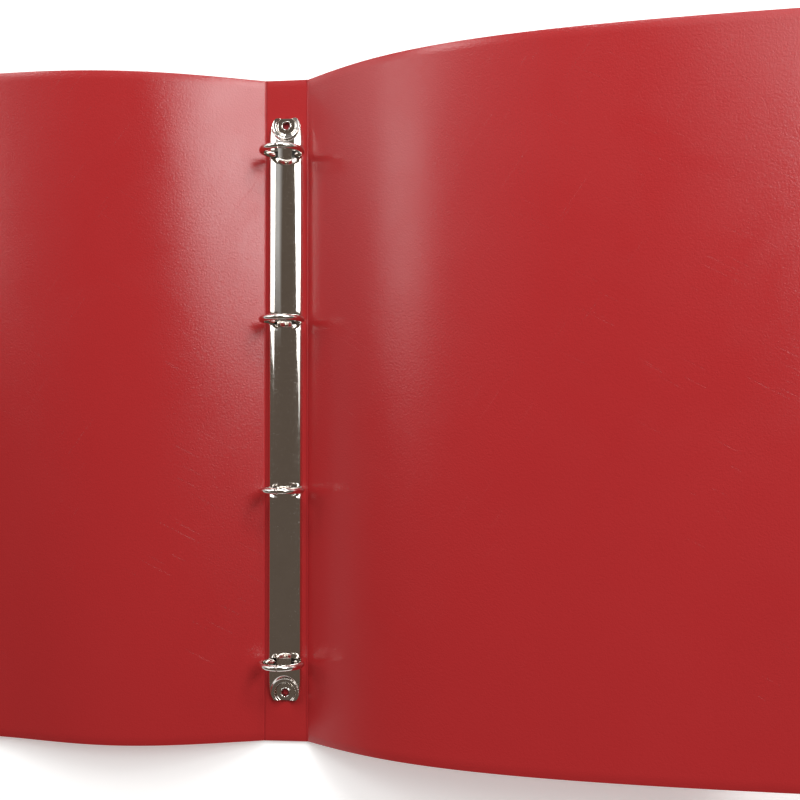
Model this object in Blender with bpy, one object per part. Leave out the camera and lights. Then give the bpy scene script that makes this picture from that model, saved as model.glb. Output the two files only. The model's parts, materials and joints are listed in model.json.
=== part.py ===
"""Four-ring binder: a red polypropylene cover lying open with its inside up, and a nickel-plated ring
mechanism riveted to the spine. X runs across the open binder, +Y along the spine towards its top end,
and z = 0 is the outer face of the spine. The front cover is on the -X side, the back cover on +X."""

import math

import bmesh
import bpy
from mathutils import Matrix, Vector

MM = 0.001
GAP = 0.3 * MM

# Polypropylene sheet
SHEET = 0.8 * MM
COVER_HEIGHT = 315 * MM
COVER_LENGTH = 236 * MM
CORNER_RADIUS = 6 * MM
CREASE_X = 10.9 * MM
WEB_WIDTH = 0.9 * MM
WEB_THICKNESS = 0.5 * MM
HALF_CREASE = WEB_WIDTH / 2 + GAP
COVER_COLUMNS = 26
COVER_ROWS = 10
CORNER_STEPS = 4

# How the covers bow, as the slope of the sheet in degrees along its length
BACK_ROOT_SLOPE = 39.2
BACK_BEND = 75 * MM
BACK_POWER = 2.0
FRONT_ROOT_SLOPE = 21.0
FRONT_BEND = 69 * MM
FRONT_POWER = 3.2
FRONT_DIP_SLOPE = 13.4
FRONT_DIP_AT = 128 * MM
FRONT_DIP_WIDTH = 52 * MM
# What the same values gain or lose from the middle of the front cover to its top edge
FRONT_ROOT_TWIST = 1.8
FRONT_DIP_TWIST = -4.7
FRONT_DIP_SHIFT = 24 * MM
FRONT_WIDTH_SHIFT = 4 * MM

# Ring mechanism
RING_SPACING = 80 * MM
RING_Y = [RING_SPACING * (1.5 - i) for i in range(4)]
RING_RADIUS = 9.35 * MM
WIRE_RADIUS = 1.4 * MM
RING_CENTRE_Z = 11.9 * MM
RING_FOOT_X = 5.35 * MM
RING_ARC_END = 140.0
TIP_GAP = 0.15 * MM
SPIGOT_RADIUS = 0.55 * MM
SPIGOT_LENGTH = 0.8 * MM
TENON_RADIUS = 0.8 * MM

STEEL = 0.7 * MM
CASING_BASE_Z = SHEET + GAP
CASING_HALF_WIDTH = 7.8 * MM
CASING_HEIGHT = 4.4 * MM
CASING_HALF_LENGTH = 138.3 * MM
CASING_ARCH = 3.2
CASING_END_WIDTH = 3.5 * MM
TAPER_LENGTH = 11 * MM
TAPER_START = 128 * MM
CAVITY_HALF_LENGTH = 126 * MM
LIP = 0.8 * MM
LIP_THICKNESS = 0.5 * MM
NOTCH_INNER_X = 3.4 * MM
NOTCH_OUTER_X = 8.6 * MM
NOTCH_FLOOR_Z = 2.9 * MM
NOTCH_HALF_WIDTH = 1.75 * MM

RIVET_Y = 134.7 * MM
DISH_FLOOR_Z = CASING_BASE_Z + STEEL
DISH_RADIUS = 4.5 * MM
DISH_LEDGE = 6.3 * MM
DISH_RIM = 9.0 * MM
EYELET_FLANGE = 2.4 * MM
EYELET_OUTER = 2.0 * MM
EYELET_BORE = 1.7 * MM
EYELET_BOTTOM_Z = 0.1 * MM
RIVET_HOLE = EYELET_OUTER + GAP
CAP_RADIUS = 4.5 * MM
RECESS_RADIUS = CAP_RADIUS + 0.5 * MM
RECESS_DEPTH = 0.15 * MM
CAP_THICKNESS = 0.5 * MM
CAP_PEG_RADIUS = EYELET_BORE - GAP
CAP_PEG_TOP_Z = 0.6 * MM

PIVOT_X = 6.85 * MM
PIVOT_Z = 2.5 * MM
BLADE_OUTER_X = 6.5 * MM
BLADE_INNER_X = 0.2 * MM
BLADE_THICKNESS = 1.0 * MM
BLADE_HALF_LENGTH = 125.2 * MM
BLADE_TILT = math.radians(7)

RED = (0.37, 0.028, 0.032)
RED_LACQUER = (0.30, 0.020, 0.026)
NICKEL = (0.70, 0.67, 0.62)
SPRING_STEEL = (0.45, 0.44, 0.42)


def clear_scene():
    for obj in list(bpy.data.objects):
        bpy.data.objects.remove(obj)


def make_material(name, colour, metallic, roughness):
    material = bpy.data.materials.new(name)
    material.use_nodes = True
    shader = material.node_tree.nodes["Principled BSDF"]
    shader.inputs["Base Color"].default_value = (*colour, 1)
    shader.inputs["Metallic"].default_value = metallic
    shader.inputs["Roughness"].default_value = roughness
    return material


def make_object(name, bm, material=None, origin=Vector(), parent=None):
    """Turns a bmesh built in world positions into an object whose origin is at `origin`."""
    bmesh.ops.recalc_face_normals(bm, faces=bm.faces)
    mesh = bpy.data.meshes.new(name)
    bmesh.ops.translate(bm, vec=-origin, verts=bm.verts)
    bm.to_mesh(mesh)
    bm.free()
    obj = bpy.data.objects.new(name, mesh)
    bpy.context.scene.collection.objects.link(obj)
    obj.location = origin
    if parent:
        obj.parent = parent
        obj.location = origin - parent.location
    if material:
        mesh.materials.append(material)
        mesh.shade_smooth()
        mesh.set_sharp_from_angle(angle=math.radians(40))
    return obj


def make_axis(name, location):
    axis = bpy.data.objects.new(name, None)
    axis.empty_display_size = 0.01
    axis.location = location
    bpy.context.scene.collection.objects.link(axis)
    return axis


def cut(obj, name, bm):
    """Takes the closed shapes of `bm` out of `obj`."""
    cutter = make_object(name, bm)
    cutter.hide_render = True
    cutter.display_type = "WIRE"
    modifier = obj.modifiers.new(name, "BOOLEAN")
    modifier.operation = "DIFFERENCE"
    modifier.solver = "EXACT"
    modifier.object = cutter


def loft(bm, sections):
    """Joins closed sections with the same number of points into one capped body."""
    rings = [[bm.verts.new(point) for point in section] for section in sections]
    count = len(rings[0])
    for ring, following in zip(rings, rings[1:]):
        for k in range(count):
            after = (k + 1) % count
            bm.faces.new((ring[k], ring[after], following[after], following[k]))
    bm.faces.new(rings[0][::-1])
    bm.faces.new(rings[-1])


def extrude_along_y(bm, outline, half_length):
    loft(bm, [[Vector((x, y, z)) for x, z in outline] for y in (-half_length, half_length)])


def add_box(bm, low, high):
    outline = [(low[0], low[2]), (high[0], low[2]), (high[0], high[2]), (low[0], high[2])]
    loft(bm, [[Vector((x, y, z)) for x, z in outline] for y in (low[1], high[1])])


def circle(centre, axis, radius, count):
    """Points of a circle round `axis`, starting on the +Y side so that lofted circles line up."""
    side = Vector((0, 1, 0)) if abs(axis.y) < 0.5 else Vector((1, 0, 0))
    other = axis.cross(side).normalized()
    turns = [2 * math.pi * k / count for k in range(count)]
    return [centre + radius * (math.cos(t) * side + math.sin(t) * other) for t in turns]


def turned(bm, centre, profile, count):
    """A body turned about the vertical through `centre`, from (radius, z) pairs that run bottom to top."""
    up = Vector((0, 0, 1))
    loft(bm, [circle(Vector((centre.x, centre.y, z)), up, radius, count) for radius, z in profile])


def front_slope(s, v):
    """Slope of the front cover at the distance s from its crease; v is 1 at the top edge, -1 at the bottom."""
    root = FRONT_ROOT_SLOPE + FRONT_ROOT_TWIST * v
    dip = FRONT_DIP_SLOPE + FRONT_DIP_TWIST * v
    away = (s - FRONT_DIP_AT - FRONT_DIP_SHIFT * v) / (FRONT_DIP_WIDTH + FRONT_WIDTH_SHIFT * v)
    return math.radians(root / (1 + (s / FRONT_BEND) ** FRONT_POWER) - dip * math.exp(-away**2))


def back_slope(s, v):
    return math.radians(BACK_ROOT_SLOPE / (1 + (s / BACK_BEND) ** BACK_POWER))


def cover_stations():
    """Distances from the crease, closer together where the two outer corners are rounded."""
    straight = COVER_LENGTH - CORNER_RADIUS
    stations = [HALF_CREASE + (straight - HALF_CREASE) * j / COVER_COLUMNS for j in range(COVER_COLUMNS + 1)]
    for k in range(1, CORNER_STEPS + 1):
        stations.append(straight + CORNER_RADIUS * math.sin(math.pi / 2 * k / CORNER_STEPS))
    return stations


def cover_half_height(s):
    past = max(0.0, s - COVER_LENGTH + CORNER_RADIUS)
    return COVER_HEIGHT / 2 - CORNER_RADIUS + math.sqrt(CORNER_RADIUS**2 - min(past, CORNER_RADIUS) ** 2)


def make_cover(name, side, slope, material):
    """A sheet that follows `slope` away from its crease, thickened about its middle surface."""
    bm = bmesh.new()
    stations = cover_stations()
    rows = []
    for i in range(COVER_ROWS + 1):
        v = 2 * i / COVER_ROWS - 1
        start = slope(0, v)
        x = CREASE_X + HALF_CREASE * math.cos(start)
        z = SHEET / 2 + HALF_CREASE * math.sin(start)
        row = [bm.verts.new((side * x, v * cover_half_height(stations[0]), z))]
        for s, following in zip(stations, stations[1:]):
            angle = slope((s + following) / 2, v)
            x += (following - s) * math.cos(angle)
            z += (following - s) * math.sin(angle)
            row.append(bm.verts.new((side * x, v * cover_half_height(following), z)))
        rows.append(row)
    for row, above in zip(rows, rows[1:]):
        for j in range(len(row) - 1):
            bm.faces.new((row[j], row[j + 1], above[j + 1], above[j]))
    cover = make_object(name, bm, material, origin=Vector((side * CREASE_X, 0, SHEET / 2)))
    thickness = cover.modifiers.new("sheet_thickness", "SOLIDIFY")
    thickness.thickness = SHEET
    thickness.offset = 0
    return cover


def make_spine(material):
    half_width = CREASE_X - HALF_CREASE
    bm = bmesh.new()
    add_box(bm, (-half_width, -COVER_HEIGHT / 2, 0), (half_width, COVER_HEIGHT / 2, SHEET))
    spine = make_object("spine_panel", bm, material)
    cut(spine, "spine_rivet_hole_cutters", rivet_hole_cutters())
    bm = bmesh.new()
    for y in (RIVET_Y, -RIVET_Y):
        turned(bm, Vector((0, y, 0)), [(RECESS_RADIUS, -5 * MM), (RECESS_RADIUS, RECESS_DEPTH)], 32)
    cut(spine, "cap_recess_cutters", bm)


def rivet_hole_cutters():
    bm = bmesh.new()
    for y in (RIVET_Y, -RIVET_Y):
        turned(bm, Vector((0, y, 0)), [(RIVET_HOLE, -5 * MM), (RIVET_HOLE, 10 * MM)], 32)
    return bm


def make_hinge_web(name, side, material):
    """The thinned strip of the sheet that the cover turns on."""
    x, z = side * CREASE_X, SHEET / 2
    wide, thick, edge = WEB_WIDTH / 2, WEB_THICKNESS / 2, WEB_THICKNESS / 4
    quarter = [(wide, -edge), (wide, edge), (wide - edge, thick)]
    outline = quarter + [(-a, b) for a, b in reversed(quarter)][:2]
    outline += [(-wide, -edge), (edge - wide, -thick), (wide - edge, -thick)]
    bm = bmesh.new()
    extrude_along_y(bm, [(x + a, z + b) for a, b in outline], COVER_HEIGHT / 2)
    make_object(name, bm, material)


def arch(half_width, height, count=22):
    """Outline of the pressed casing, a flat-crowned arch from the +X foot to the -X foot."""
    power = 2 / CASING_ARCH
    points = []
    for k in range(count + 1):
        turn = math.pi * k / count
        across = math.copysign(abs(math.cos(turn)) ** power, math.cos(turn))
        points.append((half_width * across, height * max(0.0, math.sin(turn)) ** power))
    return points


def casing_section(y):
    past = max(0.0, abs(y) - TAPER_START)
    rounding = math.sqrt(1 - (past / TAPER_LENGTH) ** 2)
    half_width = CASING_END_WIDTH + (CASING_HALF_WIDTH - CASING_END_WIDTH) * rounding
    height = CASING_HEIGHT * math.sqrt(half_width / CASING_HALF_WIDTH)
    return [Vector((x, y, CASING_BASE_Z + z)) for x, z in arch(half_width, height)]


def make_casing(material):
    """The pressed steel channel: a solid arch, hollowed, with a dish round each rivet and ring notches."""
    taper = [0, 3, 5.5, 7.5, 9, CASING_HALF_LENGTH / MM - TAPER_START / MM]
    ends = [TAPER_START + past * MM for past in taper]
    bm = bmesh.new()
    loft(bm, [casing_section(y) for y in [-y for y in reversed(ends)] + ends])
    casing = make_object("ring_casing", bm, material)

    inside = arch(CASING_HALF_WIDTH - STEEL, CASING_HEIGHT - STEEL)
    mouth = CASING_HALF_WIDTH - STEEL - LIP
    cavity = [(x, CASING_BASE_Z + max(z, LIP_THICKNESS)) for x, z in inside]
    cavity += [(-mouth, CASING_BASE_Z + LIP_THICKNESS), (-mouth, 0)]
    cavity += [(mouth, 0), (mouth, CASING_BASE_Z + LIP_THICKNESS)]
    bm = bmesh.new()
    extrude_along_y(bm, cavity, CAVITY_HALF_LENGTH)
    cut(casing, "casing_cavity_cutter", bm)

    bm = bmesh.new()
    for y in RING_Y:
        for side in (-1, 1):
            low_x, high_x = sorted((side * NOTCH_INNER_X, side * NOTCH_OUTER_X))
            low = (low_x, y - NOTCH_HALF_WIDTH, NOTCH_FLOOR_Z)
            add_box(bm, low, (high_x, y + NOTCH_HALF_WIDTH, 9 * MM))
    cut(casing, "ring_notch_cutters", bm)

    dish = [(DISH_RADIUS, DISH_FLOOR_Z), (DISH_RADIUS + 0.5 * MM, 3.0 * MM), (DISH_LEDGE, 3.5 * MM)]
    dish += [(DISH_RIM, CASING_BASE_Z + CASING_HEIGHT + 0.2 * MM), (DISH_RIM, 9 * MM)]
    bm = bmesh.new()
    for y in (RIVET_Y, -RIVET_Y):
        turned(bm, Vector((0, y, 0)), dish, 40)
    cut(casing, "rivet_dish_cutters", bm)
    cut(casing, "casing_rivet_hole_cutters", rivet_hole_cutters())


def make_eyelet(name, y, material):
    """A hollow rivet whose inner end is rolled over the dish floor."""
    flange_z = DISH_FLOOR_Z + GAP
    top_z = flange_z + 0.45 * MM
    outside = [(EYELET_OUTER, EYELET_BOTTOM_Z), (EYELET_OUTER, flange_z), (EYELET_FLANGE, flange_z)]
    rolled = [(EYELET_FLANGE, flange_z + 0.2 * MM), (EYELET_FLANGE - 0.2 * MM, top_z)]
    inside = [(EYELET_BORE + 0.1 * MM, top_z), (EYELET_BORE, top_z - 0.25 * MM), (EYELET_BORE, EYELET_BOTTOM_Z)]
    profile = outside + rolled + inside
    bm = bmesh.new()
    steps = 32
    turns = [2 * math.pi * k / steps for k in range(steps)]
    loops = [[Vector((r * math.cos(t), y + r * math.sin(t), z)) for r, z in profile] for t in turns]
    rings = [[bm.verts.new(point) for point in loop] for loop in loops]
    for k in range(steps):
        ring, following = rings[k], rings[(k + 1) % steps]
        for j in range(len(profile)):
            after = (j + 1) % len(profile)
            bm.faces.new((ring[j], ring[after], following[after], following[j]))
    make_object(name, bm, material)


def make_rivet_cap(name, y, material):
    """The red cap on the outside of the spine, with a peg that closes the hollow rivet."""
    top_z = RECESS_DEPTH - GAP
    bottom_z = top_z - CAP_THICKNESS
    edge = 0.2 * MM
    profile = [(CAP_RADIUS - edge, bottom_z), (CAP_RADIUS, bottom_z + edge), (CAP_RADIUS, top_z)]
    profile += [(CAP_PEG_RADIUS, top_z), (CAP_PEG_RADIUS, CAP_PEG_TOP_Z - edge)]
    profile += [(CAP_PEG_RADIUS - edge, CAP_PEG_TOP_Z)]
    bm = bmesh.new()
    turned(bm, Vector((0, y, 0)), profile, 32)
    make_object(name, bm, material)


def blade_point(side, x, offset):
    """World (x, z) of a point of a blade, given as if the blade lay flat: `offset` is above its middle plane."""
    tilted = Matrix.Rotation(BLADE_TILT, 2) @ Vector((x - PIVOT_X, offset))
    return side * (PIVOT_X + tilted.x), PIVOT_Z + tilted.y


def make_blade(name, side, axis, material):
    """One of the two spring-loaded plates inside the casing; together they form a shallow V at rest."""
    half = BLADE_THICKNESS / 2
    ends = [(BLADE_OUTER_X, -half), (BLADE_OUTER_X, half), (BLADE_INNER_X, half), (BLADE_INNER_X, -half)]
    bm = bmesh.new()
    extrude_along_y(bm, [blade_point(side, x, offset) for x, offset in ends], BLADE_HALF_LENGTH)
    blade = make_object(name, bm, material, origin=axis.location.copy(), parent=axis)
    bm = bmesh.new()
    radius = TENON_RADIUS + GAP
    for y in RING_Y:
        turned(bm, Vector((side * RING_FOOT_X, y, 0)), [(radius, -2 * MM), (radius, 6 * MM)], 16)
    cut(blade, name + "_hole_cutters", bm)


def ring_sections(side, y, has_spigot):
    """Circles along one half ring, from its tip at the apex, round to the foot and down through the blade."""
    count = 14
    start = math.degrees(TIP_GAP / RING_RADIUS)
    steps = 20

    def on_arc(degrees, radius):
        turn = math.radians(degrees)
        centre = Vector((side * RING_RADIUS * math.sin(turn), y, RING_CENTRE_Z + RING_RADIUS * math.cos(turn)))
        along = Vector((side * math.cos(turn), 0, -math.sin(turn)))
        return circle(centre, along, radius, count)

    reach = math.degrees(SPIGOT_LENGTH / RING_RADIUS)
    if has_spigot:
        sections = [on_arc(start - reach, SPIGOT_RADIUS * 0.6), on_arc(start, SPIGOT_RADIUS)]
    else:
        socket = SPIGOT_RADIUS + GAP
        sections = [on_arc(start + reach * 1.2, socket), on_arc(start, socket)]
    sections.append(on_arc(start, WIRE_RADIUS - 0.15 * MM))
    for k in range(steps + 1):
        first = start + 1
        sections.append(on_arc(first + (RING_ARC_END - first) * k / steps, WIRE_RADIUS))
    blade_top_z = blade_point(1, RING_FOOT_X, BLADE_THICKNESS / 2)[1]
    foot_z = blade_top_z + GAP
    tenon_z = blade_top_z - BLADE_THICKNESS
    down = Vector((0, 0, -1))
    bend = Vector((-side * 0.35, 0, -1)).normalized()
    foot_x = side * RING_FOOT_X
    sections.append(circle(Vector((foot_x + side * 0.15 * MM, y, foot_z + 0.75 * MM)), bend, WIRE_RADIUS, count))
    sections.append(circle(Vector((foot_x, y, foot_z)), down, WIRE_RADIUS, count))
    sections.append(circle(Vector((foot_x, y, foot_z)), down, TENON_RADIUS, count))
    sections.append(circle(Vector((foot_x, y, tenon_z)), down, TENON_RADIUS, count))
    return sections


def make_half_ring(name, side, y, axis, material):
    bm = bmesh.new()
    loft(bm, ring_sections(side, y, has_spigot=side < 0))
    make_object(name, bm, material, origin=axis.location.copy(), parent=axis)


def build():
    clear_scene()
    sheet = make_material("polypropylene_red", RED, 0.0, 0.42)
    lacquer = make_material("cap_red", RED_LACQUER, 0.0, 0.3)
    nickel = make_material("nickel_plate", NICKEL, 1.0, 0.1)
    steel = make_material("blade_steel", SPRING_STEEL, 1.0, 0.3)

    make_spine(sheet)
    make_hinge_web("front_hinge", -1, sheet)
    make_hinge_web("back_hinge", 1, sheet)
    make_cover("front_cover", -1, front_slope, sheet)
    make_cover("back_cover", 1, back_slope, sheet)
    make_casing(nickel)
    for end, y in (("top", RIVET_Y), ("bottom", -RIVET_Y)):
        make_eyelet(end + "_eyelet", y, nickel)
        make_rivet_cap(end + "_rivet_cap", y, lacquer)
    for end, side in (("front", -1), ("back", 1)):
        axis = make_axis(end + "_blade_axis", Vector((side * PIVOT_X, 0, PIVOT_Z)))
        make_blade(end + "_blade", side, axis, steel)
        for number, y in enumerate(RING_Y, 1):
            make_half_ring(f"{end}_half_ring_{number}", side, y, axis, nickel)


build()
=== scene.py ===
import json
import math
import bmesh
import bpy
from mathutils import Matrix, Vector


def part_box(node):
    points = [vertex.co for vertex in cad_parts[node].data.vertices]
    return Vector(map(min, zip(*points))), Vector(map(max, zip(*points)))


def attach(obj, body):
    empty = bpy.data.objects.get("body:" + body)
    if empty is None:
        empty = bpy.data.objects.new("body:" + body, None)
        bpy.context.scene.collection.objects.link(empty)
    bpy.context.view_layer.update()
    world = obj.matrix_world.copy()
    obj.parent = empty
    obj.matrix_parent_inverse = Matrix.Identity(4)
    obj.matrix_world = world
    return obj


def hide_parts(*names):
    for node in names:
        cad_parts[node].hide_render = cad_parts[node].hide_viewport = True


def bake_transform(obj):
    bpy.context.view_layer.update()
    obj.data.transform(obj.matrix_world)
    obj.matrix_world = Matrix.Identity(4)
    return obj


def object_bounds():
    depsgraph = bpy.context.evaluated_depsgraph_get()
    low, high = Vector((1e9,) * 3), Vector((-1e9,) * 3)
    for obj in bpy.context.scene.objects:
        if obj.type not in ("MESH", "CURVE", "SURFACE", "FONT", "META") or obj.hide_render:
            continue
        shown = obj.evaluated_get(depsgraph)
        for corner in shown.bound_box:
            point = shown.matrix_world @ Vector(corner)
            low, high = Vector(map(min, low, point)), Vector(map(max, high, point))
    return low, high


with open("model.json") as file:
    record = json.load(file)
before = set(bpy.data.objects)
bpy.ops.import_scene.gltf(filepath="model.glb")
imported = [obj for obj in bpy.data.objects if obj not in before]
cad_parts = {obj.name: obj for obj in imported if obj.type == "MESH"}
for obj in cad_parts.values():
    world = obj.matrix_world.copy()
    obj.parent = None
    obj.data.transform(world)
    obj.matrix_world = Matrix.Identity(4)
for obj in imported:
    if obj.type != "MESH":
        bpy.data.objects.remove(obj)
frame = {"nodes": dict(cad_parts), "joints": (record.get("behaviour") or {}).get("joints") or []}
cadLow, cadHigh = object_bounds()
mm = 0.001      # the scene is in metres
print("frame loaded:", len(frame["nodes"]), "nodes")

# places read from the frame
spineLow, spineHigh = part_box("spine_panel")
casingLow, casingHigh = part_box("ring_casing")
joints = {joint["name"]: joint for joint in frame["joints"]}
creaseX, _, creaseZ = joints["back_cover_hinge"]["pos_m"]
sheetThickness = spineHigh.z - spineLow.z
sheetHalfHeight = spineHigh.y
hingeHalfWidth = creaseX - spineHigh.x
ringMiddles = {}
for number in (1, 2, 3, 4):
    ringLow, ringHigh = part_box(f"back_half_ring_{number}")
    ringMiddles[number] = (ringLow.y + ringHigh.y) / 2
eyeletLow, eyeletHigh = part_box("top_eyelet")
rivetY = (eyeletLow.y + eyeletHigh.y) / 2


# helpers for meshes

def makePiece(name, bm, material, body=None, sharpAngle=35):
    bmesh.ops.recalc_face_normals(bm, faces=bm.faces)
    mesh = bpy.data.meshes.new(name)
    bm.to_mesh(mesh)
    bm.free()
    mesh.shade_smooth()
    mesh.set_sharp_from_angle(angle=math.radians(sharpAngle))
    piece = bpy.data.objects.new(name, mesh)
    bpy.context.scene.collection.objects.link(piece)
    mesh.materials.append(material)
    if body:
        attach(piece, body)
    return piece


def applyModifiers(piece):
    graph = bpy.context.evaluated_depsgraph_get()
    mesh = bpy.data.meshes.new_from_object(piece.evaluated_get(graph), preserve_all_data_layers=True,
                                           depsgraph=graph)
    piece.modifiers.clear()
    piece.data = mesh


def roundEdges(piece, width, wanted=None, segments=2, sharper=50, sharpAngle=40):
    # rounds every edge that turns by more than `sharper` degrees, where both its ends are wanted
    bm = bmesh.new()
    bm.from_mesh(piece.data)
    bm.normal_update()
    edges = [edge for edge in bm.edges if len(edge.link_faces) == 2
             and edge.calc_face_angle() > math.radians(sharper)
             and (wanted is None or all(wanted(vert) for vert in edge.verts))]
    bmesh.ops.bevel(bm, geom=edges, offset=width, segments=segments, profile=0.5, affect="EDGES",
                    clamp_overlap=True)
    bm.to_mesh(piece.data)
    bm.free()
    piece.data.shade_smooth()
    piece.data.set_sharp_from_angle(angle=math.radians(sharpAngle))


def circleAt(centre, along, radius, sides):
    # points round a circle that faces `along`
    side = Vector((0, 1, 0)) if abs(along.y) < 0.5 else Vector((1, 0, 0))
    other = along.cross(side).normalized()
    turns = [2 * math.pi * k / sides for k in range(sides)]
    return [centre + radius * (math.cos(t) * side + math.sin(t) * other) for t in turns]


def loftInto(bm, sections):
    # a closed skin over sections of equally many points
    rings = [[bm.verts.new(point) for point in section] for section in sections]
    sides = len(rings[0])
    for ring, following in zip(rings, rings[1:]):
        for k in range(sides):
            after = (k + 1) % sides
            bm.faces.new((ring[k], ring[after], following[after], following[k]))
    bm.faces.new(rings[0][::-1])
    bm.faces.new(rings[-1])


def turnInto(bm, centre, profile, sides, closed=False):
    # turns (radius, z) pairs about the vertical; a closed profile makes a tube, an open one is capped
    if not closed:
        up = Vector((0, 0, 1))
        loftInto(bm, [circleAt(centre + up * z, up, radius, sides) for radius, z in profile])
        return
    rings = []
    for k in range(sides):
        turn = 2 * math.pi * k / sides
        out = Vector((math.cos(turn), math.sin(turn), 0))
        rings.append([bm.verts.new(centre + out * r + Vector((0, 0, z))) for r, z in profile])
    for k in range(sides):
        ring, following = rings[k], rings[(k + 1) % sides]
        for j in range(len(profile)):
            after = (j + 1) % len(profile)
            bm.faces.new((ring[j], ring[after], following[after], following[j]))


# helpers for materials

def addNode(tree, kind, sockets=None, **settings):
    # a socket's value may be another node's output, which is then linked
    node = tree.nodes.new(kind)
    for key, value in settings.items():
        setattr(node, key, value)
    for key, value in (sockets or {}).items():
        if isinstance(value, bpy.types.NodeSocket):
            tree.links.new(value, node.inputs[key])
        else:
            node.inputs[key].default_value = value
    return node


def newGroup(name, inputs, outputs):
    tree = bpy.data.node_groups.new(name, "ShaderNodeTree")
    for label, kind, value in inputs:
        socket = tree.interface.new_socket(label, in_out="INPUT", socket_type=kind)
        if value is not None:
            socket.default_value = value
    for label, kind in outputs:
        tree.interface.new_socket(label, in_out="OUTPUT", socket_type=kind)
    return tree, tree.nodes.new("NodeGroupInput").outputs, tree.nodes.new("NodeGroupOutput").inputs


def math2(tree, operation, first, second):
    return addNode(tree, "ShaderNodeMath", {0: first, 1: second}, operation=operation).outputs[0]


def addScaled(tree, base, value, factor):
    # base + value * factor, where each may be a number or another node's output
    node = addNode(tree, "ShaderNodeMath", {0: value, 1: factor, 2: base}, operation="MULTIPLY_ADD")
    return node.outputs[0]


def rampFrom(tree, value, low, high, toHigh=1.0):
    # 0 at low, rising to toHigh at high, and level beyond them
    sockets = {"Value": value, "From Min": low, "From Max": high, "To Min": 0.0, "To Max": toHigh}
    return addNode(tree, "ShaderNodeMapRange", sockets).outputs["Result"]


def placeGroup(tree, group, sockets):
    node = tree.nodes.new("ShaderNodeGroup")
    node.node_tree = group
    for key, value in sockets.items():
        if isinstance(value, bpy.types.NodeSocket):
            tree.links.new(value, node.inputs[key])
        else:
            node.inputs[key].default_value = value
    return node.outputs


def newMaterial(name, **constants):
    material = bpy.data.materials.new(name)
    material.use_nodes = True
    tree = material.node_tree
    shader = tree.nodes["Principled BSDF"]
    for key, value in constants.items():
        shader.inputs[key.replace("_", " ")].default_value = value
    return material, tree, shader.inputs


# shared surface effects

def filmGrainGroup():
    # the fine matt grain rolled into the plastic sheet, with its slow unevenness
    tree, given, result = newGroup(
        "filmGrain",
        [("Place", "NodeSocketVector", None), ("Cell Size", "NodeSocketFloat", 0.5),
         ("Fineness", "NodeSocketFloat", 0.5), ("Cloud Size", "NodeSocketFloat", 60.0)],
        [("Height", "NodeSocketFloat"), ("Clouds", "NodeSocketFloat"), ("Speckle", "NodeSocketFloat")])
    perCell = math2(tree, "DIVIDE", 1.0, given["Cell Size"])
    cells = addNode(tree, "ShaderNodeTexNoise", {"Vector": given["Place"], "Scale": perCell, "Detail": 2.0,
                                                 "Roughness": 0.55, "Distortion": 0.4})
    finer = addNode(tree, "ShaderNodeTexVoronoi", {"Vector": given["Place"],
                                                   "Scale": math2(tree, "MULTIPLY", perCell, 1.7)},
                    feature="SMOOTH_F1")
    fine = math2(tree, "MULTIPLY", finer.outputs["Distance"], given["Fineness"])
    tree.links.new(math2(tree, "SUBTRACT", cells.outputs["Fac"], fine), result["Height"])
    perCloud = math2(tree, "DIVIDE", 1.0, given["Cloud Size"])
    clouds = addNode(tree, "ShaderNodeTexNoise", {"Vector": given["Place"], "Scale": perCloud,
                                                  "Detail": 3.0, "Roughness": 0.5})
    # noise stays near its middle, so these ramps spread it out to 0 and 1
    tree.links.new(rampFrom(tree, clouds.outputs["Fac"], 0.3, 0.7), result["Clouds"])
    tree.links.new(rampFrom(tree, cells.outputs["Fac"], 0.35, 0.65), result["Speckle"])
    return tree


def rubMarksGroup():
    # faint hairline rubs in two directions and soft finger smudges
    tree, given, result = newGroup(
        "rubMarks",
        [("Place", "NodeSocketVector", None), ("Line Length", "NodeSocketFloat", 40.0),
         ("Line Width", "NodeSocketFloat", 0.3), ("Smudge Size", "NodeSocketFloat", 25.0),
         ("Rarity", "NodeSocketFloat", 0.7)],
        [("Rubs", "NodeSocketFloat"), ("Smudges", "NodeSocketFloat")])
    stretch = addNode(tree, "ShaderNodeCombineXYZ", {"X": math2(tree, "DIVIDE", 1.0, given["Line Length"]),
                                                     "Y": math2(tree, "DIVIDE", 1.0, given["Line Width"]),
                                                     "Z": 1.0})
    rubs = None
    for turn in (0.5, 2.2):     # radians
        turned = addNode(tree, "ShaderNodeVectorRotate", {"Vector": given["Place"], "Angle": turn},
                         rotation_type="Z_AXIS")
        scaled = addNode(tree, "ShaderNodeVectorMath", {0: turned.outputs[0], 1: stretch.outputs[0]},
                         operation="MULTIPLY")
        lines = addNode(tree, "ShaderNodeTexNoise", {"Vector": scaled.outputs[0], "Scale": 1.0,
                                                     "Detail": 1.0})
        # only the peaks above Rarity show, with crisp edges
        sharp = rampFrom(tree, lines.outputs["Fac"], given["Rarity"],
                         math2(tree, "ADD", given["Rarity"], 0.05))
        rubs = sharp if rubs is None else math2(tree, "MAXIMUM", rubs, sharp)
    tree.links.new(rubs, result["Rubs"])
    perSmudge = math2(tree, "DIVIDE", 1.0, given["Smudge Size"])
    smudges = addNode(tree, "ShaderNodeTexNoise", {"Vector": given["Place"], "Scale": perSmudge,
                                                   "Detail": 4.0, "Roughness": 0.6, "Distortion": 0.8})
    tree.links.new(rampFrom(tree, smudges.outputs["Fac"], 0.42, 0.68), result["Smudges"])
    return tree


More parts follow.
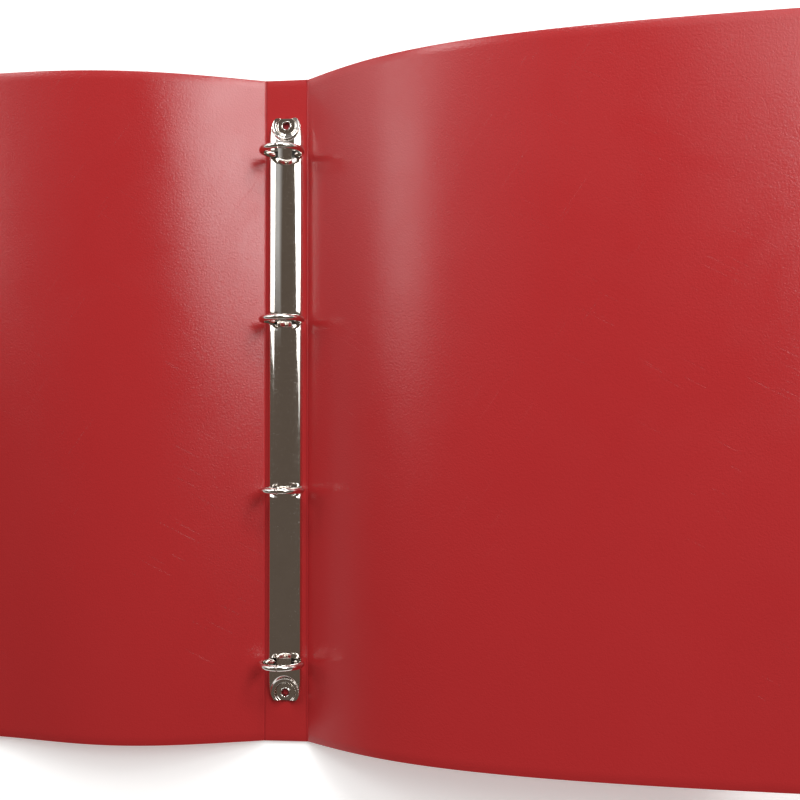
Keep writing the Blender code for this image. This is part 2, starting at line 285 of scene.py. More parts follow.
def platingGroup():
    # bright plating over pressed or drawn steel: slow waves, tiny pits and thin patches
    tree, given, result = newGroup(
        "plating",
        [("Place", "NodeSocketVector", None), ("Wave Length", "NodeSocketFloat", 6.0),
         ("Pit Size", "NodeSocketFloat", 0.6), ("Pit Rarity", "NodeSocketFloat", 0.8)],
        [("Waves", "NodeSocketFloat"), ("Pits", "NodeSocketFloat"), ("Patches", "NodeSocketFloat")])
    waves = addNode(tree, "ShaderNodeTexNoise", {"Vector": given["Place"], "Detail": 1.0,
                                                 "Scale": math2(tree, "DIVIDE", 1.0, given["Wave Length"])})
    tree.links.new(waves.outputs["Fac"], result["Waves"])
    pits = addNode(tree, "ShaderNodeTexNoise", {"Vector": given["Place"], "Detail": 2.0, "Roughness": 0.7,
                                                "Scale": math2(tree, "DIVIDE", 1.0, given["Pit Size"])})
    tree.links.new(rampFrom(tree, pits.outputs["Fac"], given["Pit Rarity"],
                            math2(tree, "ADD", given["Pit Rarity"], 0.06)), result["Pits"])
    # patches about a centimetre across
    patches = addNode(tree, "ShaderNodeTexNoise", {"Vector": given["Place"], "Scale": 0.09, "Detail": 4.0,
                                                   "Roughness": 0.65})
    tree.links.new(rampFrom(tree, patches.outputs["Fac"], 0.35, 0.7), result["Patches"])
    return tree


filmGrain = filmGrainGroup()
rubMarks = rubMarksGroup()
plating = platingGroup()


def flatPlace(tree):
    # millimetres along the flat sheet, from the map laid out on it
    return addNode(tree, "ShaderNodeUVMap", uv_map="flatSheet").outputs["UV"]


def solidPlace(tree):
    # millimetres in space
    coordinates = tree.nodes.new("ShaderNodeTexCoord")
    perMetre = (1 / mm, 1 / mm, 1 / mm)
    scaled = addNode(tree, "ShaderNodeVectorMath", {0: coordinates.outputs["Object"], 1: perMetre},
                     operation="MULTIPLY")
    return scaled.outputs[0]


def mixColours(tree, amount, first, second):
    # a Mix node's colours are its inputs 6 and 7 and its output 2
    node = addNode(tree, "ShaderNodeMix", {"Factor": amount}, data_type="RGBA")
    for index, value in ((6, first), (7, second)):
        if isinstance(value, bpy.types.NodeSocket):
            tree.links.new(value, node.inputs[index])
        else:
            node.inputs[index].default_value = (*value, 1)
    return node.outputs[2]


def bumpInto(tree, shader, height, depth):
    bump = addNode(tree, "ShaderNodeBump", {"Height": height, "Strength": 1.0, "Distance": depth})
    tree.links.new(bump.outputs[0], shader["Normal"])


# red polypropylene sheet

sheetFinish = {
    "red": (0.425, 0.0210, 0.0235),
    "paleRed": (0.445, 0.0250, 0.0270),
    # a paler red: a painted highlight along the hinge's crease, and also the real lighter rubs
    "creaseHighlightAndRubRed": (0.47, 0.027, 0.031),
    # a dark red: painted shade on the sheet's cut edges
    "rimShadowRed": (0.20, 0.006, 0.009),
    "ior": 1.49,
    "roughness": 0.245,
    "smudgeShine": 0.05,        # taken off the roughness
    "creaseShine": 0.05,
    "grainDepth": 0.055 * mm,
    "rubDepth": 0.25,           # beside the grain's own height of about 1
    "creaseCalm": 0.8,          # how much the hinge's press flattens the grain
    # how much of the paler reds each effect brings in
    "cloudPale": 0.5,
    "specklePale": 0.18,
    "rubPale": 0.10,
    # the crease's share is a painted highlight along the hinge line
    "creaseHighlightPale": 0.55,
    # sizes on the sheet in mm
    "grain": {"Cell Size": 0.95, "Fineness": 0.5, "Cloud Size": 70.0},
    "marks": {"Line Length": 45.0, "Line Width": 0.35, "Smudge Size": 38.0, "Rarity": 0.72},
}


def sheetMaterial():
    look = sheetFinish
    material, tree, shader = newMaterial("redPolypropylene", Metallic=0.0, IOR=look["ior"])
    place = flatPlace(tree)
    grain = placeGroup(tree, filmGrain, {"Place": place, **look["grain"]})
    marks = placeGroup(tree, rubMarks, {"Place": place, **look["marks"]})
    crease = addNode(tree, "ShaderNodeAttribute", attribute_name="crease").outputs["Fac"]
    rimShadow = addNode(tree, "ShaderNodeAttribute", attribute_name="rimShadow").outputs["Fac"]
    colour = look["red"]
    # the crease's paler red is a painted highlight along the hinge line; clouds, speckle and rubs are the
    # sheet's own tone
    for mask, share, paler in ((grain["Clouds"], look["cloudPale"], look["paleRed"]),
                               (grain["Speckle"], look["specklePale"], look["paleRed"]),
                               (marks["Rubs"], look["rubPale"], look["creaseHighlightAndRubRed"]),
                               (crease, look["creaseHighlightPale"], look["creaseHighlightAndRubRed"])):
        colour = mixColours(tree, math2(tree, "MULTIPLY", mask, share), colour, paler)
    # the cut edges are painted darker: painted shade on the sheet's rim
    tree.links.new(mixColours(tree, rimShadow, colour, look["rimShadowRed"]), shader["Base Color"])
    smudged = addScaled(tree, look["roughness"], marks["Smudges"], -look["smudgeShine"])
    tree.links.new(addScaled(tree, smudged, crease, -look["creaseShine"]), shader["Roughness"])
    calm = math2(tree, "SUBTRACT", 1.0, math2(tree, "MULTIPLY", crease, look["creaseCalm"]))
    height = math2(tree, "MULTIPLY", grain["Height"], calm)
    bumpInto(tree, shader, addScaled(tree, height, marks["Rubs"], -look["rubDepth"]), look["grainDepth"])
    return material


# bright nickel on steel

nickelFinish = {
    "nickel": (0.78, 0.745, 0.70),
    "thinNickel": (0.60, 0.56, 0.51),
    "patchThin": 0.25,          # how far the patches turn to thinNickel
    "pitThin": 0.5,
    "smudgeHaze": 0.04,         # added to the roughness
    "rubHaze": 0.10,
    "pitHaze": 0.25,
    "pitDepth": 0.15,           # beside the waves' own height of 1
    "pitSize": 0.55,            # mm, as in the marks
    "marks": {"Line Length": 12.0, "Line Width": 0.12, "Smudge Size": 9.0, "Rarity": 0.70},
    "casing": {"roughness": 0.05, "waveLength": 7.0, "waveHeight": 0.010 * mm, "pitRarity": 0.66},
    "rings": {"roughness": 0.04, "waveLength": 2.5, "waveHeight": 0.006 * mm, "pitRarity": 0.70},
}


def nickelMaterial(name, roughness, waveLength, waveHeight, pitRarity):
    look = nickelFinish
    material, tree, shader = newMaterial(name, Metallic=1.0)
    place = solidPlace(tree)
    surface = placeGroup(tree, plating, {"Place": place, "Wave Length": waveLength,
                                         "Pit Size": look["pitSize"], "Pit Rarity": pitRarity})
    marks = placeGroup(tree, rubMarks, {"Place": place, **look["marks"]})
    worn = mixColours(tree, math2(tree, "MULTIPLY", surface["Patches"], look["patchThin"]), look["nickel"],
                      look["thinNickel"])
    pitted = mixColours(tree, math2(tree, "MULTIPLY", surface["Pits"], look["pitThin"]), worn,
                        look["thinNickel"])
    tree.links.new(pitted, shader["Base Color"])
    smudged = addScaled(tree, roughness, marks["Smudges"], look["smudgeHaze"])
    rubbed = addScaled(tree, smudged, marks["Rubs"], look["rubHaze"])
    tree.links.new(addScaled(tree, rubbed, surface["Pits"], look["pitHaze"]), shader["Roughness"])
    height = addScaled(tree, surface["Waves"], surface["Pits"], -look["pitDepth"])
    bumpInto(tree, shader, height, waveHeight)
    return material


# thinner plating on the blades' spring steel

bladeFinish = {
    "plated": (0.50, 0.49, 0.47),
    "bare": (0.36, 0.35, 0.33),
    "rubbed": (0.60, 0.59, 0.57),
    "roughness": 0.28,
    "smudgeHaze": 0.12,
    "surfaceDepth": 0.01 * mm,
    "surface": {"Wave Length": 3.0, "Pit Size": 0.4, "Pit Rarity": 0.62},
    "marks": {"Line Length": 30.0, "Line Width": 0.08, "Smudge Size": 14.0, "Rarity": 0.55},
}


def bladeMaterial():
    look = bladeFinish
    material, tree, shader = newMaterial("platedSpringSteel", Metallic=1.0)
    place = solidPlace(tree)
    surface = placeGroup(tree, plating, {"Place": place, **look["surface"]})
    marks = placeGroup(tree, rubMarks, {"Place": place, **look["marks"]})
    worn = mixColours(tree, surface["Patches"], look["plated"], look["bare"])
    tree.links.new(mixColours(tree, marks["Rubs"], worn, look["rubbed"]), shader["Base Color"])
    tree.links.new(addScaled(tree, look["roughness"], marks["Smudges"], look["smudgeHaze"]),
                   shader["Roughness"])
    height = math2(tree, "SUBTRACT", surface["Waves"], surface["Pits"])
    bumpInto(tree, shader, height, look["surfaceDepth"])
    return material


# moulded red plastic of the rivet caps

capFinish = {
    "red": (0.30, 0.016, 0.022),
    "paleRed": (0.36, 0.026, 0.032),
    "rubbedRed": (0.45, 0.09, 0.09),
    "ior": 1.5,
    "roughness": 0.22,
    "smudgeHaze": 0.15,
    "rubPale": 0.4,
    "rubDepth": 0.5,            # beside the grain's own height of about 1
    "grainDepth": 0.004 * mm,
    "grain": {"Cell Size": 0.35, "Fineness": 0.3, "Cloud Size": 5.0},
    "marks": {"Line Length": 6.0, "Line Width": 0.1, "Smudge Size": 4.0, "Rarity": 0.6},
}


def capMaterial():
    look = capFinish
    material, tree, shader = newMaterial("redCapPlastic", Metallic=0.0, IOR=look["ior"])
    place = solidPlace(tree)
    grain = placeGroup(tree, filmGrain, {"Place": place, **look["grain"]})
    marks = placeGroup(tree, rubMarks, {"Place": place, **look["marks"]})
    base = mixColours(tree, grain["Clouds"], look["red"], look["paleRed"])
    rubbed = mixColours(tree, math2(tree, "MULTIPLY", marks["Rubs"], look["rubPale"]), base,
                        look["rubbedRed"])
    tree.links.new(rubbed, shader["Base Color"])
    tree.links.new(addScaled(tree, look["roughness"], marks["Smudges"], look["smudgeHaze"]),
                   shader["Roughness"])
    height = addScaled(tree, grain["Height"], marks["Rubs"], -look["rubDepth"])
    bumpInto(tree, shader, height, look["grainDepth"])
    return material


redSheet = sheetMaterial()
casingNickel = nickelMaterial("casingNickel", **nickelFinish["casing"])
ringNickel = nickelMaterial("ringNickel", **nickelFinish["rings"])
bladeSteel = bladeMaterial()
capRed = capMaterial()
print("materials made")


# plastic sheet: spine panel and the two bowed covers with their living hinges

# a cover's slope in degrees: rootSlope at its crease dies away over the bend, and a dip is taken off
# round dipAt; the twists and shifts are what the top edge has more than the middle
frontBow = {"rootSlope": 21.0, "bend": 69 * mm, "power": 3.2, "dip": 13.4, "dipAt": 128 * mm,
            "dipWidth": 52 * mm, "rootTwist": 1.8, "dipTwist": -4.7, "dipShift": 24 * mm,
            "widthShift": 4 * mm}
backBow = {"rootSlope": 39.2, "bend": 75 * mm, "power": 2.0, "dip": 0.0, "dipAt": 128 * mm,
           "dipWidth": 52 * mm, "rootTwist": 0.0, "dipTwist": 0.0, "dipShift": 0.0, "widthShift": 0.0}
sheetForm = {
    "length": 236 * mm,         # of a cover, from its crease
    "cornerRadius": 6 * mm,
    "edgeRound": 0.10 * mm,
    "bendBefore": 0.40 * mm,    # the sheet bends this far inside the hinge's axis
    "bendHalf": 0.35 * mm,      # half the length of that bend
    "creaseHalf": 0.38 * mm,    # half the width of the thinned line
    "creaseEase": 0.7,          # the power that shapes the sides of the thinned line
    "hingeThinning": 0.28,      # share of the thickness
    "creaseMark": 1.6,          # the crease's painted highlight, its smoother finish and its calmer grain reach full strength before the thinnest point
    # how strongly the painted shade darkens the cut edges
    "rimShadowStrength": 0.6,
    "endFaceArea": 4e-6,        # m2; the faces of a cover's outer edge are smaller
    "firstStations": (0.1, 0.25, 0.5, 1.0, 1.7),   # mm from the crease, where the bend meets the bow
    "columns": 96,
    "cornerColumns": 8,
    "hingeColumns": 10,
    "rows": 72,
    "spineColumns": 24,
    "spineRows": 90,
    "holeSides": 48,
    "holeCutterReach": 5 * mm,
}


def slopeAt(bow, s, v):
    # slope of the sheet at s from its crease; v runs from -1 at the bottom edge to 1 at the top edge
    root = bow["rootSlope"] + bow["rootTwist"] * v
    dip = bow["dip"] + bow["dipTwist"] * v
    away = (s - bow["dipAt"] - bow["dipShift"] * v) / (bow["dipWidth"] + bow["widthShift"] * v)
    return math.radians(root / (1 + (s / bow["bend"]) ** bow["power"]) - dip * math.exp(-away**2))


def coverStations():
    # places along a cover, measured from its crease
    form = sheetForm
    straight = form["length"] - form["cornerRadius"]
    count = form["columns"]
    stations = [step * mm for step in form["firstStations"]]
    stations += [straight * k / count for k in range(1, count + 1)]
    for k in range(1, form["cornerColumns"] + 1):
        stations.append(straight + form["cornerRadius"] * math.sin(math.pi / 2 * k / form["cornerColumns"]))
    return stations


def reachAt(s):
    # half the sheet's height at s, less where the outer corners are rounded
    radius = sheetForm["cornerRadius"]
    past = min(max(0.0, s - sheetForm["length"] + radius), radius)
    return sheetHalfHeight - radius + math.sqrt(radius**2 - past**2)


def coverRow(bow, v):
    # (s, x, z) along one line of the cover: the hinge's bend about the crease, then the bow
    start = slopeAt(bow, 0, v)
    half = sheetForm["bendHalf"]
    bendX = creaseX - sheetForm["bendBefore"]
    points = [(-hingeHalfWidth, creaseX - hingeHalfWidth, creaseZ)]
    for k in range(sheetForm["hingeColumns"]):
        share = k / sheetForm["hingeColumns"]
        before, after = -half * (1 - share) ** 2, half * share**2
        points.append(((2 * share - 1) * half - sheetForm["bendBefore"],
                       bendX + before + after * math.cos(start), creaseZ + after * math.sin(start)))
    stations = coverStations()
    reach = stations[0] + sheetForm["bendBefore"]
    x = bendX + reach * math.cos(start)
    z = creaseZ + reach * math.sin(start)
    points.append((stations[0], x, z))
    for s, following in zip(stations, stations[1:]):
        angle = slopeAt(bow, (s + following) / 2, v)
        x += (following - s) * math.cos(angle)
        z += (following - s) * math.sin(angle)
        points.append((following, x, z))
    return points


def sheetPiece(name, grid, replaced):
    # grid rows hold (point, distance across the flat sheet) along the sheet's middle surface
    bm = bmesh.new()
    flat = bm.loops.layers.uv.new("flatSheet")
    places = {}
    rows = []
    for row in grid:
        line = []
        for point, across in row:
            vert = bm.verts.new(point)
            places[vert] = (across / mm, point.y / mm)
            line.append(vert)
        rows.append(line)
    for row, above in zip(rows, rows[1:]):
        for k in range(len(row) - 1):
            face = bm.faces.new((row[k], row[k + 1], above[k + 1], above[k]))
            for loop in face.loops:
                loop[flat].uv = places[loop.vert]
    thin = [1 - sheetForm["hingeThinning"] * hingeShare(across) for row in grid for _, across in row]
    piece = makePiece(name, bm, redSheet)
    group = piece.vertex_groups.new(name="thickness")
    for index, weight in enumerate(thin):
        group.add([index], weight, "REPLACE")
    thicken = piece.modifiers.new("thickness", "SOLIDIFY")
    thicken.thickness = sheetThickness
    thicken.offset = 0
    thicken.vertex_group = "thickness"
    applyModifiers(piece)
    roundEdges(piece, sheetForm["edgeRound"], freeOfJoint)
    markSheet(piece.data)
    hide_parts(*replaced)
    return piece


def freeOfJoint(vert):
    # the spine panel and a cover are one sheet, so the line where their meshes meet stays square
    return abs(abs(vert.co.x) - spineHigh.x) > 0.01 * mm


def hingeShare(across):
    # 1 on the thinned line of the living hinge, easing to 0 at its sides
    away = abs(abs(across) - creaseX + sheetForm["bendBefore"]) / sheetForm["creaseHalf"]
    return max(0.0, 1 - away) ** sheetForm["creaseEase"]


def markSheet(mesh):
    # marks the hinge line, for its painted highlight, smoother finish and calmer grain, and the cut edges,
    # for their painted shade, for the material
    form = sheetForm
    count = len(mesh.vertices)
    crease, rimShadow = [0.0] * count, [0.0] * count
    flat = mesh.uv_layers["flatSheet"].data
    for loop in mesh.loops:
        across = flat[loop.index].uv.x * mm
        crease[loop.vertex_index] = min(1.0, hingeShare(across) * form["creaseMark"])
    for face in mesh.polygons:
        endwise = abs(face.normal.y) > 0.8
        outward = abs(face.normal.x) > 0.9 and face.area < form["endFaceArea"]
        if endwise or outward:
            for index in face.vertices:
                rimShadow[index] = form["rimShadowStrength"]
    for label, values in (("crease", crease), ("rimShadow", rimShadow)):
        attribute = mesh.attributes.new(label, "FLOAT", "POINT")
        attribute.data.foreach_set("value", values)


def makeCover(name, side, bow, replaced):
    count = sheetForm["rows"]
    grid = []
    for k in range(count + 1):
        v = 2 * k / count - 1
        row = coverRow(bow, v)
        grid.append([(Vector((side * x, v * reachAt(s), z)), side * (creaseX + s)) for s, x, z in row])
    piece = sheetPiece(name, grid, replaced)
    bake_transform(piece)


def makeSpine():
    edge = spineHigh.x
    columns, rows = sheetForm["spineColumns"], sheetForm["spineRows"]
    grid = []
    for k in range(rows + 1):
        y = sheetHalfHeight * (2 * k / rows - 1)
        line = [edge * (2 * j / columns - 1) for j in range(columns + 1)]
        grid.append([(Vector((x, y, creaseZ)), x) for x in line])
    piece = sheetPiece("spineSheet", grid, ["spine_panel"])
    hole, reach = eyeletHigh.x, sheetForm["holeCutterReach"]
    bm = bmesh.new()
    for end in (rivetY, -rivetY):
        turnInto(bm, Vector((0, end, 0)), [(hole, -reach), (hole, reach)], sheetForm["holeSides"])
    cutter = makePiece("spineHoleCutter", bm, redSheet)
    cut = piece.modifiers.new("rivetHoles", "BOOLEAN")
    cut.object = cutter
    applyModifiers(piece)
    bpy.data.objects.remove(cutter)
    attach(piece, "spine_assembly")


makeSpine()
makeCover("frontCoverSheet", -1, frontBow, ["front_cover", "front_hinge"])
makeCover("backCoverSheet", 1, backBow, ["back_cover", "back_hinge"])
print("sheet made")


# ring mechanism: pressed casing

casingForm = {
    "steel": 0.7 * mm,
    "footClearance": 0.02 * mm,     # above the spine
    "crownRadius": 18 * mm,
    "shoulderRadius": 1.3 * mm,
    "endHalfWidth": 3.5 * mm,
    "taperStart": 128 * mm,
    "taperLength": 11 * mm,
    "edgeRound": 0.10 * mm,
    "roundSharper": 55,             # degrees, so the dish's corners stay as pressed
    "columns": 120,
    "endStep": 0.24 * mm,           # between rows at the ends, which start endLead before the taper
    "endLead": 3.5 * mm,
    "plainStep": 3 * mm,
    "notchInner": 3.4 * mm,
    "notchFloor": 2.9 * mm,
    "notchHalfWidth": 1.75 * mm,
    "dish": [(4.4, 1.8), (4.8, 2.9), (6.3, 3.15), (8.5, 5.5), (12.0, 9.4)],   # mm: radius, height
    "dishSoftness": 0.26 * mm,
    "dishBlend": 0.35 * mm,         # rounds the rim where the dish meets the crown
    "rivetHole": 2.15 * mm,
    "holeSnap": 0.5 * mm,           # the hole's edge is made round where it is within this
}
casingFootZ = spineHigh.z + casingForm["footClearance"]


def dishHeight(r):
    # height of the pressed dish at r from its rivet, with softened corners
    def plain(radius):
        points = [(a * mm, b * mm) for a, b in casingForm["dish"]]
        if radius <= points[0][0]:
            return points[0][1]
        for (a, low), (b, high) in zip(points, points[1:]):
            if radius <= b:
                return low + (high - low) * (radius - a) / (b - a)
        return points[-1][1] + radius - points[-1][0]

    soft = casingForm["dishSoftness"]
    shifts = [soft * k / 2 for k in (-2, -1, 0, 1, 2)]
    return sum(plain(r + shift) for shift in shifts) / len(shifts)


def casingArch(y):
    # the pressed channel's outline at y: evenly spaced points from the +X foot to the -X foot
    form = casingForm
    past = max(0.0, abs(y) - form["taperStart"])
    rounding = math.sqrt(max(0.0, 1 - (past / form["taperLength"]) ** 2))
    width = form["endHalfWidth"] + (casingHigh.x - form["endHalfWidth"]) * rounding
    top = casingLow.z + (casingHigh.z - casingLow.z) * math.sqrt(width / casingHigh.x)
    # a shallow crown, rounded shoulders and upright sides
    crown, shoulder = form["crownRadius"], form["shoulderRadius"]
    crownMiddle = top - crown
    shoulderZ = crownMiddle + math.sqrt((crown - shoulder) ** 2 - (width - shoulder) ** 2)
    meeting = math.atan2(shoulderZ - crownMiddle, width - shoulder)
    sideSteps, shoulderSteps, crownSteps = 20, 60, 300
    half = [(width, casingFootZ + (shoulderZ - casingFootZ) * k / sideSteps) for k in range(sideSteps)]
    for k in range(shoulderSteps + 1):
        turn = meeting * k / shoulderSteps
        half.append((width - shoulder + shoulder * math.cos(turn), shoulderZ + shoulder * math.sin(turn)))
    for k in range(1, crownSteps + 1):
        turn = meeting + (math.pi / 2 - meeting) * k / crownSteps
        half.append((crown * math.cos(turn), crownMiddle + crown * math.sin(turn)))
    dense = half + [(-x, z) for x, z in reversed(half[:-1])]
    lengths = [0.0]
    for (x1, z1), (x2, z2) in zip(dense, dense[1:]):
        lengths.append(lengths[-1] + math.hypot(x2 - x1, z2 - z1))
    points, at = [], 0
    for k in range(form["columns"] + 1):
        wanted = lengths[-1] * k / form["columns"]
        while at < len(dense) - 2 and lengths[at + 1] < wanted:
            at += 1
        share = (wanted - lengths[at]) / (lengths[at + 1] - lengths[at])
        (x1, z1), (x2, z2) = dense[at], dense[at + 1]
        points.append([x1 + (x2 - x1) * share, z1 + (z2 - z1) * share])
    return points


def casingRows():
    # the places along Y of the casing's rows: close at its ends, and with one on each notch's edge
    form = casingForm
    digits = 7      # rows that would nearly meet become one
    rows = set()
    end = casingHigh.y
    plain = form["taperStart"] - form["endLead"]
    count = round((end - plain) / form["endStep"])
    for k in range(count + 1):
        y = plain + (end - plain) * k / count
        rows.update((round(y, digits), round(-y, digits)))
    marks = {round(plain, digits), round(-plain, digits)}
    for y in ringMiddles.values():
        marks.update(round(y + side * form["notchHalfWidth"], digits) for side in (-1, 1))
    marks = sorted(marks)
    for low, high in zip(marks, marks[1:]):
        steps = max(1, round((high - low) / form["plainStep"]))
        rows.update(round(low + (high - low) * k / steps, digits) for k in range(steps + 1))
    return sorted(rows)


def softLower(a, b, softness):
    # the lower of two heights, rounded where they cross
    share = max(0.0, softness - abs(a - b)) / softness
    return min(a, b) - share**2 * softness / 4


def makeCasing():
    form = casingForm
    dishReach = form["dish"][-1][0] * mm
    rows = casingRows()
    bm = bmesh.new()
    grid = []
    for y in rows:
        section = casingArch(y)
        # a point of each side moves onto each line of the notches, so they are cut along whole faces
        if abs(y) < form["taperStart"]:
            for target, axis in ((form["notchInner"], 0), (form["notchFloor"], 1)):
                for side in (1, -1):
                    half = [p for p in section if p[0] * side > 0]
                    nearest = min(half, key=lambda p: abs(abs(p[axis]) - target))
                    nearest[axis] = side * target if axis == 0 else target
        line = []
        for x, z in section:
            r = math.hypot(x, abs(y) - rivetY)
            if r <= dishReach:
                lowered = softLower(z, dishHeight(r), form["dishBlend"])
                if lowered < z:
                    z = max(lowered, casingFootZ)
            line.append(bm.verts.new((x, y, z)))
        grid.append(line)
    for line, following in zip(grid, grid[1:]):
        for k in range(len(line) - 1):
            bm.faces.new((line[k], line[k + 1], following[k + 1], following[k]))
    unwanted = []
    for face in bm.faces:
        middle = face.calc_center_median()
        inNotch = any(abs(middle.y - y) < form["notchHalfWidth"] for y in ringMiddles.values())
        if inNotch and abs(middle.x) > form["notchInner"] and middle.z > form["notchFloor"]:
            unwanted.append(face)
        if math.hypot(middle.x, abs(middle.y) - rivetY) < form["rivetHole"]:
            unwanted.append(face)
    bmesh.ops.delete(bm, geom=unwanted, context="FACES")
    for edge in [edge for edge in bm.edges if edge.is_boundary]:
        for vert in edge.verts:
            middle = Vector((0, math.copysign(rivetY, vert.co.y)))
            out = Vector((vert.co.x, vert.co.y)) - middle
            if out.length < form["rivetHole"] + form["holeSnap"]:
                out = out.normalized() * form["rivetHole"]
                vert.co.x, vert.co.y = out.x, middle.y + out.y
    piece = makePiece("ringCasing", bm, casingNickel)
    thicken = piece.modifiers.new("steel", "SOLIDIFY")
    thicken.thickness = form["steel"]
    thicken.offset = -1
    applyModifiers(piece)
    roundEdges(piece, form["edgeRound"], sharper=form["roundSharper"])
    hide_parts("ring_casing")
    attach(piece, "spine_assembly")


makeCasing()
print("casing made")


# ring mechanism: half rings

ringForm = {
    "radius": 9.35 * mm,        # to the wire's middle
    "wire": 1.4 * mm,
    "middleZ": 11.9 * mm,
    "footX": 5.35 * mm,
    "arcEnd": 140,              # degrees from the top
    "tipGap": 0.15 * mm,
    "tipRound": 0.14 * mm,
    "tipSteps": 3,
    "tipLead": 0.6,             # degrees from the rounded tip to the arc's first section
    "spigot": 0.55 * mm,
    "spigotLength": 0.8 * mm,
    "spigotShape": ((1.0, 0.45), (0.75, 0.9), (0.6, 1.0), (0.0, 1.0)),  # shares: how far out, how wide
    "socketClearance": 0.2 * mm,
    "socketShape": ((1.2, 0.4), (1.1, 1.0), (0.0, 1.0)),
    "footSteps": 8,
    "footAbove": 0.3 * mm,      # the wire ends this far above the blade, and its tenon goes on down
    "tenon": 0.8 * mm,
    "tenonLength": 1.0 * mm,
    "bladeTopZ": 3.18 * mm,
    "sides": 32,
    "steps": 64,
}


def ringSections(side, y, hasSpigot):
    form = ringForm
    sides = form["sides"]
    start = math.degrees(form["tipGap"] / form["radius"])

    def onArc(degrees, radius):
        turn = math.radians(degrees)
        out = Vector((side * math.sin(turn), 0, math.cos(turn)))
        along = Vector((side * math.cos(turn), 0, -math.sin(turn)))
        return circleAt(Vector((0, y, form["middleZ"])) + form["radius"] * out, along, radius, sides)

    reach = math.degrees(form["spigotLength"] / form["radius"])
    if hasSpigot:
        spigot = form["spigot"]
        sections = [onArc(start - reach * past, spigot * wide) for past, wide in form["spigotShape"]]
    else:
        socket = form["spigot"] + form["socketClearance"]
        sections = [onArc(start + reach * deep, socket * wide) for deep, wide in form["socketShape"]]
    rounding = form["tipRound"]
    for k in range(form["tipSteps"] + 1):
        turn = math.pi / 2 * k / form["tipSteps"]
        ahead = math.degrees(rounding * (1 - math.cos(turn)) / form["radius"])
        sections.append(onArc(start + ahead, form["wire"] - rounding * (1 - math.sin(turn))))
    first = start + math.degrees(rounding / form["radius"]) + form["tipLead"]
    for k in range(form["steps"] + 1):
        sections.append(onArc(first + (form["arcEnd"] - first) * k / form["steps"], form["wire"]))
    # from the arc's end the wire turns straight down into its foot on the blade
    turn = math.radians(form["arcEnd"])
    arcX = form["radius"] * math.sin(turn)
    arcZ = form["middleZ"] + form["radius"] * math.cos(turn)
    slope = math.cos(turn) / math.sin(turn)
    footZ = form["bladeTopZ"] + form["footAbove"]
    for k in range(1, form["footSteps"] + 1):
        share = k / form["footSteps"]
        x = arcX + (form["footX"] - arcX) * (1 - (1 - share) ** 2)
        z = arcZ + (footZ - arcZ) * share
        lean = Vector((side * slope * (1 - share), 0, -1)).normalized()
        sections.append(circleAt(Vector((side * x, y, z)), lean, form["wire"], sides))
    down = Vector((0, 0, -1))
    foot = Vector((side * form["footX"], y, footZ))
    sections.append(circleAt(foot, down, form["tenon"], sides))
    sections.append(circleAt(foot + down * form["tenonLength"], down, form["tenon"], sides))
    return sections


for number, y in ringMiddles.items():
    for end, side in (("front", -1), ("back", 1)):
        bm = bmesh.new()
        loftInto(bm, ringSections(side, y, hasSpigot=side < 0))
        half = makePiece(f"{end}RingHalf{number}", bm, ringNickel, f"{end}_ring_set", sharpAngle=50)
        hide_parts(f"{end}_half_ring_{number}")
print("ring halves made")


# hollow rivets, their caps and the blades

rivetForm = {
    "bore": 1.7 * mm,
    "barrel": 2.0 * mm,
    "barrelLow": 0.1 * mm,
    "flange": 2.42 * mm,
    "flangeLow": 1.83 * mm,
    "flangeHigh": 2.55 * mm,
    "flangeEdge": 0.25 * mm,    # the upright part of the flange, below its roll
    "rollSteps": 12,
    "capRadius": 4.5 * mm,
    "capTop": -0.15 * mm,
    "capBottom": -0.65 * mm,
    "capCrown": 0.16 * mm,
    "capRoundWidth": 0.25 * mm,
    "capRoundHeight": 0.2 * mm,
    "crownSteps": 8,
    "roundSteps": 5,
    "pegRadius": 1.4 * mm,
    "pegTop": 0.6 * mm,
    "pegBevel": 0.2 * mm,
    "middle": 0.05 * mm,        # radius of the small face that closes the cap and its peg
    "rivetSides": 64,
    "capSides": 72,
}


def eyeletProfile():
    # (radius, z) once round the wall: up the barrel, over the rolled flange and down the bore
    form = rivetForm
    points = [(form["barrel"], form["barrelLow"]), (form["barrel"], form["flangeLow"]),
              (form["flange"], form["flangeLow"])]
    rollMiddle = (form["flange"] + form["bore"]) / 2
    rollHalf = (form["flange"] - form["bore"]) / 2
    rollHeight = form["flangeHigh"] - form["flangeLow"] - form["flangeEdge"]
    for k in range(form["rollSteps"] + 1):
        turn = math.pi * k / form["rollSteps"]
        points.append((rollMiddle + rollHalf * math.cos(turn),
                       form["flangeHigh"] - rollHeight + rollHeight * math.sin(turn)))
    points.append((form["bore"], form["barrelLow"]))
    return points


def capProfile():
    # (radius, z) from the crowned outside, round its edge and up the peg
    form = rivetForm
    crownRadius = form["capRadius"] - form["capRoundWidth"]
    crownTop = form["capBottom"] + form["capCrown"]
    points = [(form["middle"], form["capBottom"])]
    for k in range(1, form["crownSteps"] + 1):
        share = k / form["crownSteps"]
        points.append((crownRadius * share, form["capBottom"] + form["capCrown"] * share**3))
    for k in range(1, form["roundSteps"] + 1):
        turn = math.pi / 2 * k / form["roundSteps"]
        points.append((form["capRadius"] - form["capRoundWidth"] * (1 - math.sin(turn)),
                       crownTop + form["capRoundHeight"] * (1 - math.cos(turn))))
    points += [(form["capRadius"], form["capTop"]), (form["pegRadius"], form["capTop"]),
               (form["pegRadius"], form["pegTop"] - form["pegBevel"]),
               (form["pegRadius"] - form["pegBevel"], form["pegTop"]), (form["middle"], form["pegTop"])]
    return points


